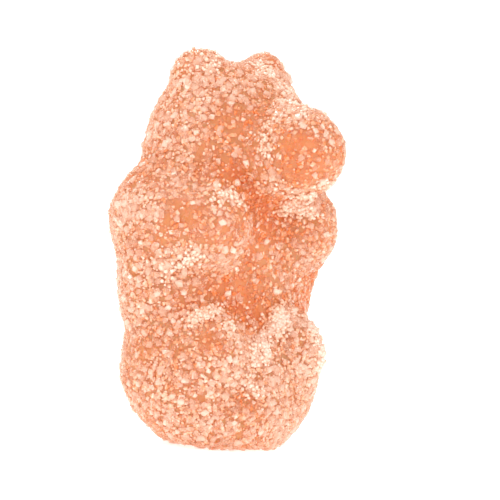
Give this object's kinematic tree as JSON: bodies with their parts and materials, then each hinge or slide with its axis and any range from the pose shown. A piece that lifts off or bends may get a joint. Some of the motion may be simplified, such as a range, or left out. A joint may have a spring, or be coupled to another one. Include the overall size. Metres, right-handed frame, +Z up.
{
  "type": "sugared gummy bear",
  "caption": "Soft fruit-jelly sweet cast as an upright bear with round ears, snout, paws and feet, a flat back, and a crust of coarse sugar.",
  "frame": {"origin": "middle of the bear's bounding box at the level of the seat it stands on", "axes": "+Z up along the standing bear, -Y out of its face, +X to its left; the flat back faces +Y"},
  "size_m": [0.0144, 0.0124, 0.0228],
  "materials": {
    "sugared_gel": "translucent peach-orange fruit gel under a dense crust of whitish sugar crystals"
  },
  "bodies": {
    "root": {"bear": "sugared_gel"}
  },
  "joints": []
}
